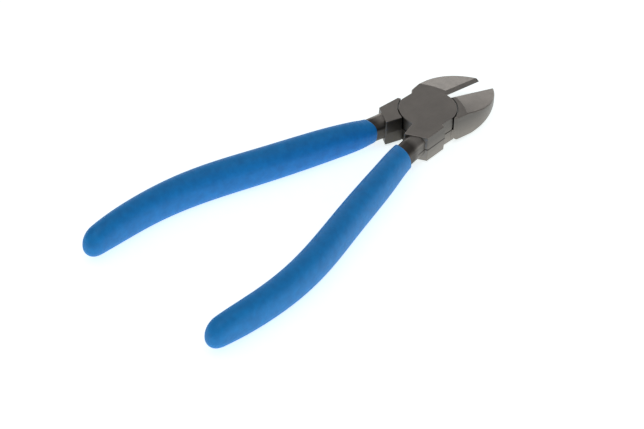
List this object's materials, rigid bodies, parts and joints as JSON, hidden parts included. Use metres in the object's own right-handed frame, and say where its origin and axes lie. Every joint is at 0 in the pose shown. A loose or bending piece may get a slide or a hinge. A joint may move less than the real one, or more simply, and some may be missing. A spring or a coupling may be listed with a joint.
{
  "type": "diagonal cutting pliers",
  "caption": "Side cutters with bevelled jaws, a lap joint that hides its rivet, and slim dipped handles that bow out and back in.",
  "frame": {"origin": "on the pivot axis at the flat back face of the head", "axes": "+Z along the pivot axis, from the back face to the front face; +Y from the pivot to the jaw tips; +X to the right, the side of the front lever's handle"},
  "size_m": [0.068, 0.1573, 0.0133],
  "materials": {
    "lever_steel": "dark satin, forged, ground and phosphated",
    "rivet_steel": "ground flush, dark satin",
    "grip_vinyl": "blue dipped vinyl, soft matt"
  },
  "bodies": {
    "back_half": {"back_lever": "lever_steel", "back_grip": "grip_vinyl"},
    "front_half": {"front_lever": "lever_steel", "pivot_rivet": "rivet_steel", "front_grip": "grip_vinyl"}
  },
  "joints": [
    {"name": "pivot", "type": "hinge", "parent": "back_half", "child": "front_half", "pos_m": [0, 0, 0], "axis": [0, 0, 1], "range_deg": [-10.7, 26]}
  ]
}
